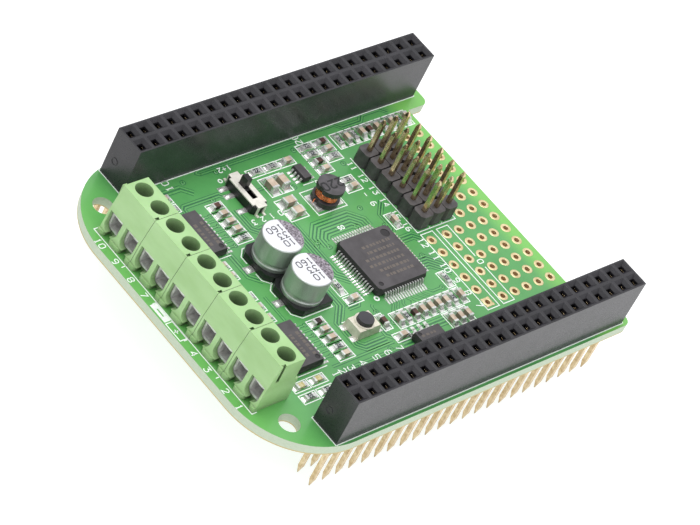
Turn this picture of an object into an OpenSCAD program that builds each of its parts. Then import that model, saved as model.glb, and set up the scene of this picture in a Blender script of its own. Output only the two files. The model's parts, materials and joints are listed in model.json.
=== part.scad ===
// Servo driver board: a stacking board with motor terminals, a servo header and its driver chips.
// Millimetres. +X runs along the two sockets, away from the terminal block, +Y from the front
// socket to the rear one, +Z up. The origin is midway between the two mounting holes, on the
// board's underside. Places on the board are given from the middle of the two sockets.

/* [Board] */
// Thickness of the circuit board
board_t = 1.6; // [1.2:0.1:2]
// Distance between the centres of the two mounting holes
hole_span = 41.91; // [41:0.01:42]
// Diameter of a mounting hole
mount_hole_d = 3.2; // [3:0.1:3.6]
// Distance along X from the mounting holes to the middle of the sockets
socket_mid_x = 33.02; // [33:0.01:34]
// Radius of the two large corners at the terminal end
corner_r = 12.7; // [10:0.1:13]

/* [Stacking sockets] */
// Distance between the centre lines of the two sockets
socket_span = 48.26; // [48:0.01:48.5]
// Number of pins in each of a socket's two rows
socket_ways = 23; // [18:1:23]
// Height of a socket above the board
socket_h = 8.5; // [7.5:0.1:9]
// Length of the stacking pins below the board
tail_len = 9; // [3:0.5:12]

/* [Servo header] */
// Number of servo outputs, three pins each
servo_outputs = 6; // [3:1:6]
// Height of the pin tips above the board
servo_pin_h = 8.7; // [7:0.1:9]

/* [Terminal block] */
// Distance between neighbouring wire entries
terminal_pitch = 3.5; // [3.5:0.01:3.6]
// Height of the terminal block above the board
terminal_h = 8.55; // [8.3:0.05:9]
// How far a clamp rises when its screw is turned in
clamp_travel = 1.2; // [0.4:0.1:1.2]

/* [Switch and button] */
// Travel of the slide switch
switch_travel = 2; // [1:0.1:2]
// Travel of the push button
button_travel = 0.25; // [0.1:0.05:0.3]

/* [Hidden] */

$fn = 48;
eps = 0.01;
clearance = 0.02;
pin_pitch = 2.54;
pin_w = 0.64;
pin_hole_r = 0.5;

// Board outline
board_half_w = 27.305;
board_left = -38.735;
board_right = 26.3;
tab_right = 30.7;
tab_inner_y = 19.5;
tab_corner_r = 1.3;

// Prototype pads: a block of plated holes and a narrow strip beside the servo header
proto_r = 0.45;
proto_top_y = -0.08;
proto_cols = [14.4, 16.94, 19.48, 22.02, 24.56];
proto_edge_col = 11.2;

// Stacking sockets
socket_w = 5.08;
socket_len = socket_ways * pin_pitch;
pocket_w = 1.7;
funnel_w = 2.05;
funnel_d = 0.5;
entry_w = 1;
pocket_top = socket_h - 0.9;

// Servo header
servo_cols = 3;
servo_x = 11.43;
servo_y = 0.87;
header_h = 2.54;
header_tail = 1.4;

// Terminal block, with X from the line of its screws
terminal_x = -33.3;
module_ways = 2;
terminal_ways = 10;
module_w = module_ways * terminal_pitch;
module_gap = 0.05;
block_foot = -3.75;
post_foot = -3.45;
block_front = -3.12;
block_top_front = -2.25;
block_back = 2.1;
ledge_back = 2.8;
ledge_h = 4.4;
entry_floor = 0.85;
entry_top = 4.3;
post_w = 0.8;
screw_hole_d = 2.7;
clamp_w = 2.7;
clamp_front = -2.4;
clamp_depth = 3.6;
clamp_floor = entry_floor + 0.05;
clamp_wall = 0.33;
bar_z = 2.8;
bar_t = 0.5;
bar_front = clamp_front + 0.4;
plate_t = 0.65;
thread_d = 2;
clamp_top = bar_z + bar_t + 0.05 + plate_t;
head_z = clamp_top + clamp_travel + 0.06;
head_h = 0.8;
head_d = 2.5;
leg_x = 1.6;
leg_t = 0.5;
leg_w = 1;

// Packages: centre on the board
controller_at = [-0.1, -3.25];
driver_at = [[-24.55, 10.65], [-24.55, -10.95]];
regulator_at = [-0.1, 15];
memory_at = [-3.1, -18.1];
can_at = [[-16.15, 3.3], [-16.15, -3.35]];
inductor_at = [0.15, 9.8];
switch_at = [-11.5, 14.65];
button_at = [-11.35, -11.7];

// Chip parts: a letter for each kind, and the length, width and height of its body
// r resistor, c capacitor, w wide capacitor, b bead, l light
function chip_size(kind) =
    kind == "r" ? [1.6, 0.8, 0.45] :
    kind == "w" ? [2, 1.25, 1.1] :
    kind == "l" ? [1.6, 0.8, 0.5] :
    kind == "b" ? [1.6, 0.8, 0.7] : [1.6, 0.8, 0.8];
chip_end = 0.32;
chip_end_skin = 0.02;

// A run of chip parts: kinds, place of the first, step to the next, and turn about Z
function chip_run(kinds, first, step, turn) =
    [for (i = [0:len(kinds) - 1]) [kinds[i], first[0] + i * step[0], first[1] + i * step[1], turn]];

cell = 1.57;
stack_cell = 1.55;
chips = concat(
    chip_run("crbccccrc", [-4.75, -12.7], [cell, 0], 90),
    chip_run("ccc", [3.2, -15.9], [cell, 0], 90),
    chip_run("c", [-6.2, -15.25], [0, 0], 0),
    chip_run("c", [7.9, 2.5], [0, 0], 90),
    chip_run("r", [7.9, -9.45], [0, 0], 90),
    chip_run("bcccr", [-17.05, 14.6], [0, -stack_cell], 0),
    chip_run("bccrc", [-17.05, -8.4], [0, -stack_cell], 0),
    chip_run("r", [-9.5, -4.4], [0, 0], 90),
    chip_run("c", [-8.7, -7], [0, 0], 0),
    chip_run("b", [-7.3, -12.1], [0, 0], 90),
    chip_run("rrc", [-6.6, 17.9], [3.05, 0], 0),
    chip_run("ww", [-6.3, 14.8], [2.2, 0], 90),
    chip_run("ww", [-5.95, 11.2], [0, -2], 0),
    chip_run("rrbc", [4.4, 19.1], [0, -1.52], 0),
    chip_run("bcr", [7.55, 19.1], [0, -1.5], 0),
    chip_run("rcrcbcrcrc", [10.6, 18.35], [stack_cell, 0], 90),
    chip_run("rc", [6.3, 11.55], [0, -1.4], 0),
    chip_run("ll", [-27.25, -16.55], [3.25, 0], 0),
    chip_run("rr", [-27.25, -18.6], [3.25, 0], 0),
    chip_run("cr", [-24, 18.45], [0, -1.85], 0),
    chip_run("cc", [-24, 5.1], [0, -1.9], 0),
    chip_run("rcc", [-24, -0.85], [0, -2.1], 0)
);

// Puts its children on the board's top face, at the middle of the sockets
module on_board() {
    translate([socket_mid_x, 0, board_t]) children();
}

function way_y(i) = (i - (terminal_ways - 1) / 2) * terminal_pitch;
function grid_x(i) = (i - (socket_ways - 1) / 2) * pin_pitch;

// ---- Circuit board ----

module board_outline() {
    half_straight = board_half_w - corner_r;
    difference() {
        union() {
            translate([board_left, -half_straight])
                square([board_right - board_left, 2 * half_straight]);
            translate([board_left + corner_r, -board_half_w])
                square([board_right - board_left - corner_r, 2 * board_half_w]);
            for (s = [-1, 1])
                translate([board_left + corner_r, s * half_straight])
                    circle(r = corner_r, $fn = 96);
            for (s = [-1, 1])
                board_tab(s);
        }
        for (s = [-1, 1])
            translate([-socket_mid_x, s * hole_span / 2])
                circle(d = mount_hole_d);
    }
}

// Tab that carries the end of a socket past the middle of the board's edge
module board_tab(s) {
    tab_w = board_half_w - tab_inner_y;
    translate([board_right - 2, s > 0 ? tab_inner_y : -board_half_w])
        square([tab_right - tab_corner_r - board_right + 2, tab_w]);
    translate([tab_right - tab_corner_r - eps, s * (tab_inner_y + tab_w / 2) - tab_w / 2 + tab_corner_r])
        square([tab_corner_r + eps, tab_w - 2 * tab_corner_r]);
    for (y = [tab_inner_y + tab_corner_r, board_half_w - tab_corner_r])
        translate([tab_right - tab_corner_r, s * y])
            circle(r = tab_corner_r);
}

module socket_holes() {
    for (s = [-1, 1], row = [-0.5, 0.5], i = [0:socket_ways - 1])
        translate([grid_x(i), s * socket_span / 2 + row * pin_pitch])
            circle(r = pin_hole_r, $fn = 24);
}

module servo_holes() {
    for (i = [0:servo_cols - 1], j = [0:servo_outputs - 1])
        translate([servo_x + i * pin_pitch, servo_y + j * pin_pitch])
            circle(r = pin_hole_r, $fn = 24);
}

module terminal_holes() {
    for (i = [0:terminal_ways - 1])
        translate([terminal_x + leg_x + leg_t / 2, way_y(i)])
            circle(d = leg_w + 0.3, $fn = 24);
}

module proto_holes() {
    block_rows = 6;
    places = concat(
        [for (x = proto_cols, j = [1:block_rows]) [x, proto_top_y - j * pin_pitch]],
        [for (j = [1:block_rows]) [proto_edge_col, proto_top_y - j * pin_pitch]],
        [for (i = [2:4]) [proto_cols[i], proto_top_y]],
        [for (i = [3:4], j = [1:block_rows]) [proto_cols[i], proto_top_y + j * pin_pitch]]
    );
    for (p = places)
        translate(p) circle(r = proto_r, $fn = 24);
}

module circuit_board() {
    color("seagreen")
        translate([socket_mid_x, 0, 0])
            linear_extrude(board_t)
                difference() {
                    board_outline();
                    socket_holes();
                    servo_holes();
                    terminal_holes();
                    proto_holes();
                }
}

// ---- Stacking sockets ----

// Square funnel that guides a pin into its pocket
module pin_funnel() {
    cylinder(h = funnel_d, d1 = entry_w * sqrt(2), d2 = funnel_w * sqrt(2), $fn = 4);
}

module socket_pocket() {
    translate([-pocket_w / 2, -pocket_w / 2, -1])
        cube([pocket_w, pocket_w, pocket_top + 1]);
    translate([-entry_w / 2, -entry_w / 2, pocket_top - eps])
        cube([entry_w, entry_w, socket_h - pocket_top]);
    translate([0, 0, socket_h - funnel_d + eps])
        rotate(45)
            pin_funnel();
}

// Places its children at every pin of the socket on side s
module socket_grid(s) {
    for (row = [-0.5, 0.5], i = [0:socket_ways - 1])
        translate([grid_x(i), s * socket_span / 2 + row * pin_pitch, 0])
            children();
}

module socket_housing(s) {
    color("dimgray")
        on_board()
            difference() {
                translate([-socket_len / 2, s * socket_span / 2 - socket_w / 2, 0])
                    cube([socket_len, socket_w, socket_h]);
                socket_grid(s) socket_pocket();
            }
}

// Square pin with a pointed tip, standing on z = 0
module square_pin(length, tip = 0.7, tip_w = 0.25) {
    translate([-pin_w / 2, -pin_w / 2, 0])
        cube([pin_w, pin_w, length - tip]);
    translate([0, 0, length - tip])
        rotate(45)
            cylinder(h = tip, d1 = pin_w * sqrt(2), d2 = tip_w * sqrt(2), $fn = 4);
}

// Spring fork that grips a pin, on a foot that fills the bottom of its pocket
module contact_fork() {
    foot_w = pocket_w - 2 * clearance;
    foot_h = 0.5;
    leaf_t = 0.16;
    leaf_w = 0.6;
    grip_z = pocket_top - 0.55;
    grip_x = 0.3;
    end_x = 0.45;
    end_z = pocket_top - 0.1;
    translate([-foot_w / 2, -foot_w / 2, 0.05])
        cube([foot_w, foot_w, foot_h]);
    for (s = [-1, 1])
        rotate([90, 0, s > 0 ? 0 : 180])
            linear_extrude(leaf_w, center = true)
                polygon([
                    [foot_w / 2, 0.1],
                    [foot_w / 2, foot_h + 0.5],
                    [grip_x + leaf_t, grip_z],
                    [end_x + leaf_t, end_z],
                    [end_x, end_z],
                    [grip_x, grip_z],
                    [foot_w / 2 - leaf_t, foot_h + 0.5],
                    [foot_w / 2 - leaf_t, 0.1]
                ]);
}

module socket_contacts(s) {
    color("goldenrod")
        on_board()
            socket_grid(s) {
                contact_fork();
                translate([0, 0, 0.1])
                    mirror([0, 0, 1])
                        square_pin(board_t + tail_len + 0.1, tip = 1.4, tip_w = 0.12);
            }
}

// ---- Servo header ----

module servo_header_housing() {
    corner = 0.7;
    row_gap = [0.2, 0.8];
    column_gap = [0.1, 0.3];
    length = servo_outputs * pin_pitch;
    width = servo_cols * pin_pitch;
    color("dimgray")
        on_board()
            translate([servo_x - pin_pitch / 2, servo_y - pin_pitch / 2, 0])
                difference() {
                    linear_extrude(header_h)
                        difference() {
                            square([width, length]);
                            for (i = [0:servo_cols], j = [0:servo_outputs])
                                translate([i * pin_pitch, j * pin_pitch])
                                    rotate(45)
                                        square(corner, center = true);
                            for (i = [0:servo_cols - 1], j = [0:servo_outputs - 1])
                                translate([(i + 0.5) * pin_pitch, (j + 0.5) * pin_pitch])
                                    square(pin_w, center = true);
                        }
                    for (j = [1:servo_outputs - 1])
                        translate([-1, j * pin_pitch - row_gap[0] / 2, header_h - row_gap[1]])
                            cube([width + 2, row_gap[0], row_gap[1] + 1]);
                    for (i = [1:servo_cols - 1])
                        translate([i * pin_pitch - column_gap[0] / 2, -1, header_h - column_gap[1]])
                            cube([column_gap[0], length + 2, column_gap[1] + 1]);
                }
}

module servo_header_pins() {
    color("goldenrod")
        on_board()
            for (i = [0:servo_cols - 1], j = [0:servo_outputs - 1])
                translate([servo_x + i * pin_pitch, servo_y + j * pin_pitch, 0]) {
                    translate([0, 0, -eps])
                        square_pin(servo_pin_h + eps);
                    mirror([0, 0, 1])
                        square_pin(board_t + header_tail);
                }
}

// ---- Terminal block ----

// Dovetail that joins one module to the next, standing along +Y
module dovetail(gap) {
    root = 0.25;
    tip = 0.36;
    depth = 0.4;
    bottom = 5.4;
    top = terminal_h - 0.35;
    translate([-1.72, 0, bottom - gap])
        linear_extrude(top - bottom + gap + (gap > 0 ? 1 : 0))
            polygon([
                [-root - gap, -gap],
                [root + gap, -gap],
                [tip + gap, depth + gap],
                [-tip - gap, depth + gap]
            ]);
}

module terminal_shell() {
    rotate([90, 0, 0])
        linear_extrude(module_w - module_gap, center = true)
            polygon([
                [block_foot, 0],
                [block_foot, entry_floor],
                [post_foot, entry_floor],
                [block_front, entry_top],
                [block_top_front, terminal_h],
                [block_back, terminal_h],
                [block_back, ledge_h],
                [ledge_back, ledge_h],
                [ledge_back, 0]
            ]);
}

// Room for one way: the wire entry, the clamp's shaft, the screw hole and the slot of the contact's leg
// Wire entry seen from the front: upright sides over a round floor
module entry_outline(r, bottom, top) {
    steps = 12;
    polygon(concat(
        [for (k = [0:steps]) [-r * cos(180 * k / steps), bottom + r - r * sin(180 * k / steps)]],
        [[r, top], [-r, top]]
    ));
}

module terminal_way() {
    gap = 0.05;
    entry_w = terminal_pitch - post_w;
    shaft_w = clamp_w + 2 * gap;
    translate([block_foot - 1, 0, 0])
        rotate([90, 0, 90])
            linear_extrude(clamp_front - block_foot + 1)
                entry_outline(entry_w / 2, entry_floor - 0.05, entry_top);
    translate([clamp_front - 2 * gap, -shaft_w / 2, entry_floor])
        cube([clamp_depth + 4 * gap, shaft_w, head_z - entry_floor]);
    translate([0, 0, entry_floor + 1])
        cylinder(d = screw_hole_d, h = terminal_h);
    translate([leg_x - 0.4, -leg_w / 2 - gap, -1])
        cube([0.4 + leg_t + gap, leg_w + 2 * gap, bar_z + bar_t + gap + 1]);
}

// Notch in the foot below a wire entry, with one rounded side
module foot_notch() {
    notch_w = 1.1;
    round_r = 0.7;
    depth = 1.5;
    high = entry_floor + 1;
    translate([block_foot - 1, -notch_w / 2, -1])
        cube([depth + 1, notch_w, high]);
    for (s = [-1, 1])
        translate([block_foot, s * (notch_w / 2 + round_r), -1])
            difference() {
                translate([-1, s > 0 ? -round_r - eps : 0, 0])
                    cube([1 + round_r, round_r + eps, high]);
                translate([round_r, 0, -1])
                    cylinder(r = round_r, h = high + 2);
            }
}

module terminal_housing() {
    difference() {
        union() {
            terminal_shell();
            translate([0, (module_w - module_gap) / 2, 0])
                dovetail(0);
        }
        for (s = [-0.5, 0.5])
            translate([0, s * terminal_pitch, 0]) {
                terminal_way();
                foot_notch();
            }
        translate([0, -(module_w + module_gap) / 2, 0])
            dovetail(clearance);
    }
}

module terminal_housings() {
    color("darkseagreen")
        on_board()
            for (i = [0:terminal_ways / module_ways - 1])
                translate([terminal_x, (way_y(2 * i) + way_y(2 * i + 1)) / 2, 0])
                    terminal_housing();
}

// Fixed bar that a wire is pressed against, with the leg that goes through the board
module terminal_contacts() {
    leg_below = board_t + 1.6;
    color("silver")
        on_board()
            for (i = [0:terminal_ways - 1])
                translate([terminal_x, way_y(i), 0]) {
                    translate([bar_front, -leg_w / 2, bar_z])
                        cube([leg_x + leg_t - bar_front, leg_w, bar_t]);
                    translate([leg_x, -leg_w / 2, -leg_below])
                        cube([leg_t, leg_w, leg_below + bar_z + eps]);
                }
}

module terminal_screw(i) {
    slot_w = 0.5;
    slot_d = 0.45;
    color("silver")
        on_board()
            translate([terminal_x, way_y(i - 1), 0])
                difference() {
                    union() {
                        translate([0, 0, bar_z + bar_t + clearance])
                            cylinder(d = thread_d - 2 * clearance, h = head_z - bar_z - bar_t);
                        translate([0, 0, head_z])
                            cylinder(d = head_d, h = head_h);
                    }
                    translate([-head_d, -slot_w / 2, head_z + head_h - slot_d])
                        cube([2 * head_d, slot_w, slot_d + 1]);
                }
}

// Cage that lifts the wire to the bar: open along X, threaded through its top plate
module terminal_clamp(i) {
    height = clamp_top - clamp_floor;
    window_h = height - clamp_wall - plate_t;
    color("lightsteelblue")
        on_board()
            translate([terminal_x, way_y(i - 1), 0])
                difference() {
                    translate([clamp_front, -clamp_w / 2, clamp_floor])
                        cube([clamp_depth, clamp_w, height]);
                    translate([clamp_front - 1, -clamp_w / 2 + clamp_wall, clamp_floor + clamp_wall])
                        cube([clamp_depth + 2, clamp_w - 2 * clamp_wall, window_h]);
                    translate([0, 0, clamp_top - plate_t - 1])
                        cylinder(d = thread_d, h = plate_t + 2);
                }
}

// ---- Chip packages and their leads ----

// Moulded package: a middle band between a lower and an upper half that both draw in
module package(size, stand, chamfer) {
    band = 0.2;
    half_h = (size[2] - band) / 2;
    draft = 0.12;
    module half(h) {
        linear_extrude(h, scale = [1 - 2 * draft / size[0], 1 - 2 * draft / size[1]], slices = 1, $fn = 4)
            package_outline(size, chamfer);
    }
    translate([0, 0, stand + half_h])
        linear_extrude(band)
            package_outline(size, chamfer);
    translate([0, 0, stand + half_h + band])
        half(half_h);
    translate([0, 0, stand + half_h])
        mirror([0, 0, 1])
            half(half_h);
}

module package_outline(size, chamfer) {
    x = size[0] / 2;
    y = size[1] / 2;
    c = max(chamfer, 0.05);
    polygon([
        [x - c, -y], [x, -y + c], [x, y - c], [x - c, y],
        [-x + c, y], [-x, y - c], [-x, -y + c], [-x + c, -y]
    ]);
}

// Round mark moulded into the top of a package
module dimple(d, top, depth) {
    translate([0, 0, top - depth])
        cylinder(d = d, h = depth + 1);
}

// Gull-wing lead along +X, from the package side at x = 0, with its foot on the board
module gull_lead(rise, reach, width) {
    t = 0.15;
    shoulder = reach * 0.28;
    heel = reach * 0.52;
    rotate([90, 0, 0])
        linear_extrude(width, center = true)
            polygon([
                [0, rise + t / 2],
                [shoulder, rise + t / 2],
                [heel + t / 2, t],
                [reach, t],
                [reach, 0],
                [heel - t / 2, 0],
                [shoulder - t, rise - t / 2],
                [0, rise - t / 2]
            ]);
}

// Rows of leads on two opposite sides, at x = plus and minus side
module lead_rows(count, pitch, side, rise, reach, width) {
    for (turn = [0, 180], i = [0:count - 1])
        rotate(turn)
            translate([side, (i - (count - 1) / 2) * pitch, 0])
                gull_lead(rise, reach, width);
}

controller_size = [10, 10, 1.4];
controller_stand = 0.1;
module controller_package() {
    top = controller_stand + controller_size[2];
    color("darkslategray")
        on_board()
            translate(controller_at)
                difference() {
                    package(controller_size, controller_stand, 0.5);
                    translate([3.55, 3.6, 0])
                        dimple(1.5, top, 0.08);
                    translate([-3.9, -3.9, 0])
                        dimple(0.8, top, 0.08);
                }
}

module controller_leads() {
    rise = controller_stand + controller_size[2] / 2;
    color("silver")
        on_board()
            translate(controller_at)
                for (turn = [0, 90])
                    rotate(turn)
                        lead_rows(16, 0.5, controller_size[0] / 2, rise, 1, 0.22);
}

driver_size = [5.6, 7.8, 1.45];
module motor_driver_packages() {
    color("darkslategray")
        on_board()
            for (p = driver_at)
                translate(p)
                    difference() {
                        package(driver_size, 0.1, 0);
                        translate([2, -3.1, 0])
                            dimple(0.8, 0.1 + driver_size[2], 0.08);
                    }
}

module motor_driver_leads() {
    color("silver")
        on_board()
            for (p = driver_at)
                translate(p)
                    lead_rows(12, 0.65, driver_size[0] / 2, 0.1 + driver_size[2] / 2, 1, 0.24);
}

regulator_size = [1.6, 2.9, 0.9];
module regulator_package() {
    color("darkslategray")
        on_board()
            translate(regulator_at)
                package(regulator_size, 0.08, 0);
}

module regulator_leads() {
    color("silver")
        on_board()
            translate(regulator_at)
                lead_rows(4, 0.65, regulator_size[0] / 2, 0.08 + regulator_size[2] / 2, 0.6, 0.32);
}

memory_size = [3.9, 4.9, 1.4];
module memory_package() {
    color("darkslategray")
        on_board()
            translate(memory_at)
                rotate(90)
                    difference() {
                        package(memory_size, 0.1, 0);
                        translate([1.3, 1.8, 0])
                            dimple(0.7, 0.1 + memory_size[2], 0.08);
                    }
}

module memory_leads() {
    color("silver")
        on_board()
            translate(memory_at)
                rotate(90)
                    lead_rows(4, 1.27, memory_size[0] / 2, 0.1 + memory_size[2] / 2, 1.05, 0.4);
}

// ---- Capacitors ----

can_r = 3.15;
can_floor = 0.45;
can_h = 5.5;
module capacitor_cans() {
    round_r = 0.25;
    groove_r = 0.45;
    groove_depth = 0.2;
    groove_z = 2;
    color("lightgray")
        on_board()
            for (p = can_at)
                translate([p[0], p[1], can_floor])
                    rotate_extrude($fn = 96)
                        difference() {
                            union() {
                                square([can_r - round_r, can_h - can_floor]);
                                translate([0, 0.3])
                                    square([can_r, can_h - can_floor - 0.3 - round_r]);
                                translate([can_r - round_r, can_h - can_floor - round_r])
                                    circle(r = round_r, $fn = 32);
                            }
                            translate([can_r + groove_r - groove_depth, groove_z - can_floor])
                                circle(r = groove_r, $fn = 48);
                        }
}

// Plastic plate under a can, with a raised rim and two cut corners on the positive side
module capacitor_bases() {
    half = 3.3;
    cut = 1.1;
    base_h = 1.1;
    lead_slot = [3, 1.1, 0.14];
    color("dimgray")
        on_board()
            for (p = can_at)
                translate(p)
                    difference() {
                        linear_extrude(base_h)
                            polygon([
                                [half, -half], [half, half], [-half + cut, half],
                                [-half, half - cut], [-half, -half + cut], [-half + cut, -half]
                            ]);
                        translate([0, 0, can_floor])
                            cylinder(r = can_r + clearance, h = base_h, $fn = 96);
                        for (turn = [0, 180])
                            rotate(turn)
                                translate([half - lead_slot[0] + eps, -lead_slot[1] / 2, -eps])
                                    cube([lead_slot[0], lead_slot[1], lead_slot[2] + eps]);
                    }
}

module capacitor_leads() {
    reach = 4.05;
    inner = 0.6;
    color("silver")
        on_board()
            for (p = can_at, turn = [0, 180])
                translate(p)
                    rotate(turn)
                        translate([inner, -0.4, 0])
                            cube([reach - inner, 0.8, 0.12]);
}

// ---- Inductor ----

flange_r = 2.1;
hub_r = 1.2;
drum_z = 0.15;
flange_t = 0.8;
drum_h = 3.1;
module inductor_core() {
    notch_r = 0.42;
    color("dimgray")
        on_board()
            translate([inductor_at[0], inductor_at[1], drum_z])
                difference() {
                    union() {
                        cylinder(r = flange_r, h = flange_t, $fn = 64);
                        cylinder(r = hub_r, h = drum_h);
                        translate([0, 0, drum_h - flange_t])
                            cylinder(r = flange_r, h = flange_t, $fn = 64);
                    }
                    for (s = [-1, 1])
                        translate([s * flange_r, 0, -1])
                            cylinder(r = notch_r, h = drum_h + 2, $fn = 32);
                }
}

module inductor_winding() {
    wire_r = 0.14;
    turns = 6;
    layers = 2;
    low = drum_z + flange_t + wire_r + 0.02;
    high = drum_z + drum_h - flange_t - wire_r - 0.02;
    color("chocolate")
        on_board()
            translate([inductor_at[0], inductor_at[1], 0])
                for (layer = [0:layers - 1], i = [0:turns - 1])
                    translate([0, 0, low + (high - low) * i / (turns - 1)])
                        rotate_extrude($fn = 48)
                            translate([hub_r + 0.02 + wire_r + layer * 1.7 * wire_r, 0])
                                circle(r = wire_r, $fn = 16);
}

module inductor_terminals() {
    color("silver")
        on_board()
            translate(inductor_at)
                for (s = [-1, 1])
                    translate([s * 1.6 - 0.6, -1.3, 0])
                        cube([1.2, 2.6, drum_z]);
}

// ---- Slide switch ----

switch_w = 2.75;
switch_len = 6.6;
switch_h = 1.4;
sheet_t = 0.18;
slot_w = 1;
knob_w = 0.9;
knob_len = 1.25;
knob_h = 1.65;
shoe_len = 2;
shoe_h = 0.55;
shoe_z = 0.8;
module switch_case() {
    hollow = [1.9, switch_len - 1.4];
    color("dimgray")
        on_board()
            translate(switch_at)
                difference() {
                    translate([-switch_w / 2, -switch_len / 2, 0])
                        cube([switch_w, switch_len, switch_h]);
                    translate([-hollow[0] / 2, -hollow[1] / 2, 0.4])
                        cube([hollow[0], hollow[1], switch_h]);
                    for (s = [-1, 1], side = [-1, 1])
                        translate([side * switch_w / 2, s * switch_len / 2, -1])
                            rotate(45)
                                cube([0.7, 0.7, 2 * switch_h + 4], center = true);
                }
}

// Sheet over the case: a plate with the slot, a tongue at each end, and two feet below each tongue
module switch_cover() {
    plate_len = switch_len - 1.1;
    tongue_w = 1.7;
    foot_w = 0.4;
    foot_reach = 0.7;
    end_y = switch_len / 2 + clearance;
    color("gainsboro")
        on_board()
            translate(switch_at) {
                translate([0, 0, switch_h])
                    linear_extrude(sheet_t)
                        difference() {
                            union() {
                                square([switch_w - 0.1, plate_len], center = true);
                                square([tongue_w, 2 * (end_y + sheet_t)], center = true);
                            }
                            translate([-slot_w / 2, -switch_travel / 2 - knob_len / 2 - 0.1])
                                square([slot_w, switch_travel + knob_len + 0.2]);
                        }
                for (s = [-1, 1], side = [-1, 1])
                    translate([side * (tongue_w - foot_w) / 2 - foot_w / 2, 0, 0]) {
                        translate([0, s > 0 ? end_y : -end_y - sheet_t, 0])
                            cube([foot_w, sheet_t, switch_h + eps]);
                        translate([0, s > 0 ? end_y : -end_y - foot_reach, 0])
                            cube([foot_w, foot_reach, sheet_t]);
                    }
            }
}

module switch_slider() {
    color("dimgray")
        on_board()
            translate([switch_at[0], switch_at[1] + switch_travel / 2, 0]) {
                translate([-0.9, -shoe_len / 2, shoe_z])
                    cube([1.8, shoe_len, shoe_h]);
                translate([-knob_w / 2, -knob_len / 2, shoe_z + shoe_h - eps])
                    cube([knob_w, knob_len, switch_h + sheet_t + knob_h - shoe_z - shoe_h]);
            }
}

// Bridge under the slider that joins two of the switch's leads
module switch_wiper() {
    color("goldenrod")
        on_board()
            translate([switch_at[0] - 0.7, switch_at[1] + switch_travel / 2 - 0.9, shoe_z - 0.2])
                cube([1.4, 1.8, 0.2]);
}

// Three flat leads through the terminal side of the case
module switch_leads() {
    reach = 1.45;
    lead_w = 0.5;
    color("silver")
        on_board()
            translate(switch_at)
                for (y = [2.4, 0.95, -2.05])
                    translate([-switch_w / 2 - reach, y - lead_w / 2, 0])
                        cube([reach, lead_w, 0.15]);
}

// ---- Push button ----

button_w = 4.4;
button_len = 3.25;
button_h = 1.5;
cap_d = 2.45;
cap_h = 0.75;
module button_base() {
    color("dimgray")
        on_board()
            translate(button_at)
                difference() {
                    translate([-button_w / 2 + 0.35, -button_len / 2 + 0.35, 0.05])
                        cube([button_w - 0.7, button_len - 0.7, 0.75]);
                    translate([0, 0, 0.3])
                        cylinder(d = 2.3, h = 2);
                }
}

// Drawn sheet cover with sloping sides and a low collar around the hole for the cap
module button_cover() {
    wall = 0.2;
    draft = 0.2;
    inner_w = button_w - 2 * wall;
    inner_len = button_len - 2 * wall;
    module pyramid(w, l, h, d) {
        linear_extrude(h, scale = [1 - 2 * d / w, 1 - 2 * d / l], slices = 1, $fn = 4)
            square([w, l], center = true);
    }
    color("beige")
        on_board()
            translate(button_at)
                difference() {
                    union() {
                        translate([0, 0, 0.05])
                            pyramid(button_w, button_len, button_h - 0.05, draft);
                        translate([0, 0, button_h - 0.1])
                            cylinder(d = cap_d + 0.7, h = 0.22);
                    }
                    translate([0, 0, -eps])
                        pyramid(inner_w, inner_len, button_h - wall + eps, draft - 0.05);
                    cylinder(d = cap_d + 0.1, h = 2 * button_h);
                }
}

module button_plunger() {
    flange_z = 0.85;
    color("dimgray")
        on_board()
            translate(button_at) {
                translate([0, 0, flange_z])
                    cylinder(d = 1.8, h = 0.5);
                translate([0, 0, flange_z + 0.3])
                    cylinder(d = cap_d, h = button_h + cap_h - flange_z - 0.3);
            }
}

// Snap dome that the plunger presses and that springs it back
module button_dome() {
    color("silver")
        on_board()
            translate([button_at[0], button_at[1], 0.3])
                rotate_extrude()
                    polygon([[0, 0.17], [0.5, 0.14], [1.1, 0], [1.1, 0.06], [0.5, 0.2], [0, 0.23]]);
}

module button_leads() {
    reach = 0.55;
    color("silver")
        on_board()
            translate(button_at)
                for (side = [0, 180], y = [-1.1, 1.1])
                    rotate(side)
                        translate([button_w / 2 - 0.3, y - 0.3, 0])
                            cube([0.3 + reach, 0.6, 0.05]);
}

// ---- Chip parts ----

// Places its children at every chip part of one kind
module at_chips(kind) {
    for (c = chips)
        if (c[0] == kind)
            translate([c[1], c[2], 0])
                rotate(c[3])
                    children();
}

module chip_body(kind) {
    size = chip_size(kind);
    length = size[0] - 2 * chip_end;
    translate([-length / 2, -size[1] / 2 + chip_end_skin, chip_end_skin])
        cube([length, size[1] - 2 * chip_end_skin, size[2] - 2 * chip_end_skin]);
}

module chip_resistors() {
    color("gray")
        on_board()
            at_chips("r") chip_body("r");
}

module chip_capacitors() {
    color("tan")
        on_board() {
            at_chips("c") chip_body("c");
            at_chips("w") chip_body("w");
        }
}

module chip_beads() {
    color("saddlebrown")
        on_board()
            at_chips("b") chip_body("b");
}

module status_leds() {
    color("khaki")
        on_board()
            at_chips("l") chip_body("l");
}

// Plated end caps, two to a part
module chip_ends() {
    color("silver")
        on_board()
            for (kind = ["r", "c", "w", "b", "l"])
                at_chips(kind)
                    for (s = [-1, 1])
                        translate([s * (chip_size(kind)[0] - chip_end) / 2, 0, chip_size(kind)[2] / 2])
                            cube([chip_end, chip_size(kind)[1], chip_size(kind)[2]], center = true);
}

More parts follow.
